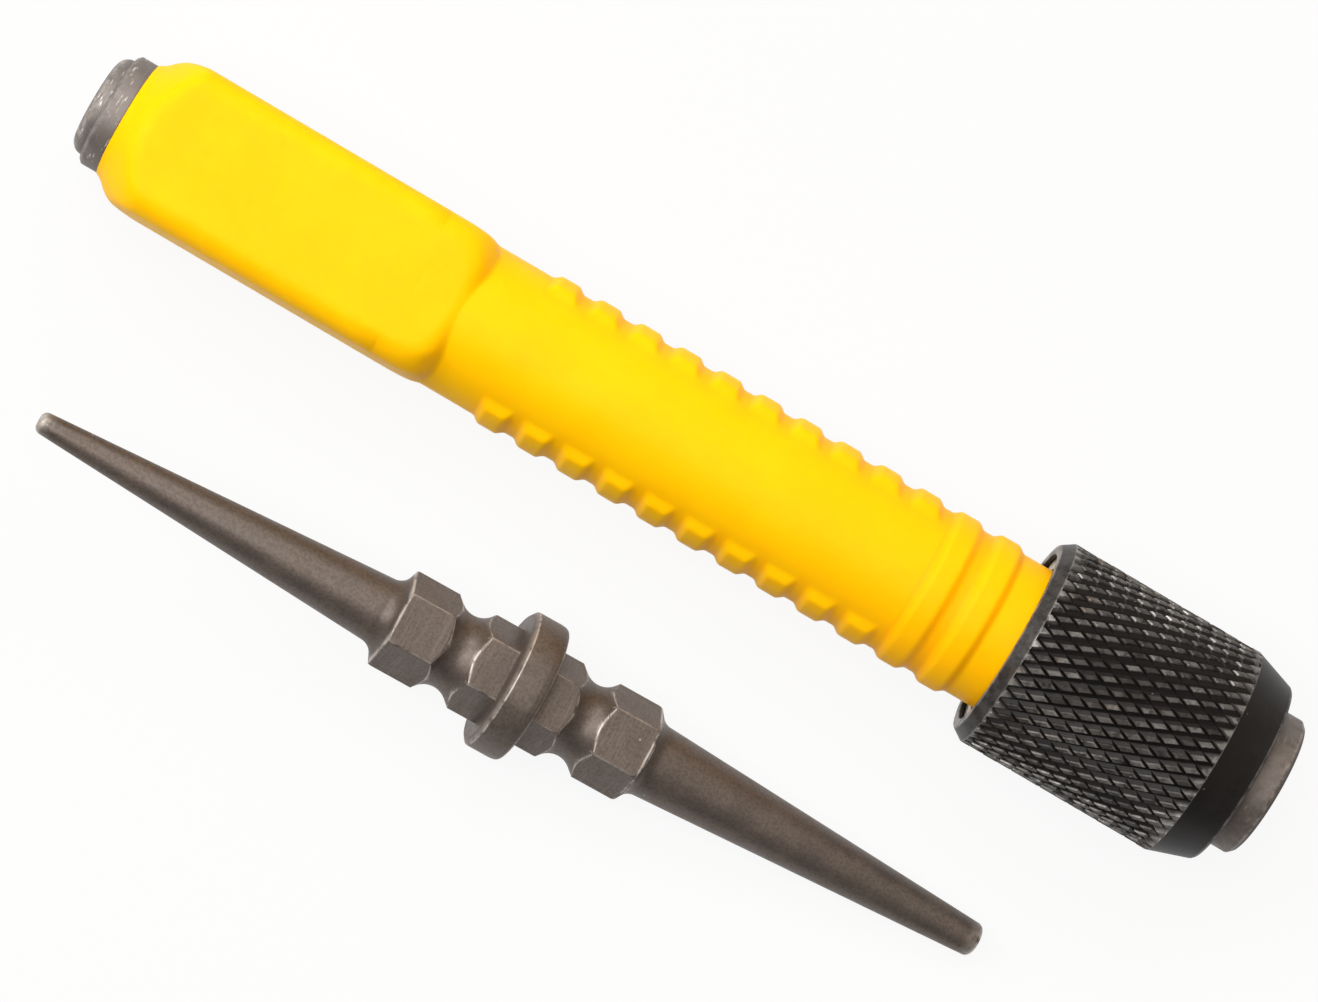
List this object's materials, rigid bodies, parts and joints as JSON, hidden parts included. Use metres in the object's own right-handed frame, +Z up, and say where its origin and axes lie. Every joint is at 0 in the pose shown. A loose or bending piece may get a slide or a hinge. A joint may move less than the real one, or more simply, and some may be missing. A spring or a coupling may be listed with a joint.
{
  "type": "nail setter",
  "caption": "Nail setter: struck steel holder with a plastic grip and a sprung knurled quick-release collar, and a loose double-ended punch bit with hexagonal shanks.",
  "frame": {"origin": "on the surface that the tool lies on, under the middle of the box round holder and bit", "axes": "+X along the holder from the strike end to the nose, +Y away from the bit, +Z up"},
  "size_m": [0.0933, 0.033, 0.0162],
  "materials": {
    "core_steel": "turned, satin",
    "grip_plastic": "satin moulded",
    "spring_steel": "drawn wire",
    "collar_black_steel": "black oxide, worn on the knurl",
    "ring_steel": "plated",
    "ball_steel": "polished",
    "bit_steel": "hardened, brown tint"
  },
  "bodies": {
    "holder": {"core_shank": "core_steel", "grip": "grip_plastic", "return_spring": "spring_steel"},
    "release_collar": {"collar": "collar_black_steel", "retaining_ring": "ring_steel"},
    "ball_left": {"locking_ball_left": "ball_steel"},
    "ball_right": {"locking_ball_right": "ball_steel"},
    "bit": {"punch_bit": "bit_steel"}
  },
  "joints": [
    {"name": "collar_slide", "type": "slide", "parent": "holder", "child": "release_collar", "axis": [0.9994, 0, 0.0333], "range_m": [0, 0.0025], "stiffness_N_per_m": 1500, "springref_m": -0.001, "deforming": ["return_spring"]},
    {"name": "ball_left_slide", "type": "slide", "parent": "holder", "child": "ball_left", "axis": [0, 1, 0], "range_m": [0, 0.0004]},
    {"name": "ball_right_slide", "type": "slide", "parent": "holder", "child": "ball_right", "axis": [0, -1, 0], "range_m": [0, 0.0004]},
    {"name": "bit_lift", "type": "slide", "parent": "holder", "child": "bit", "axis": [0, 0, 1], "range_m": [0, 0.05]}
  ],
  "couplings": [
    {"joint": "ball_left_slide", "follows": "collar_slide", "ratio": 0.16},
    {"joint": "ball_right_slide", "follows": "collar_slide", "ratio": 0.16}
  ]
}
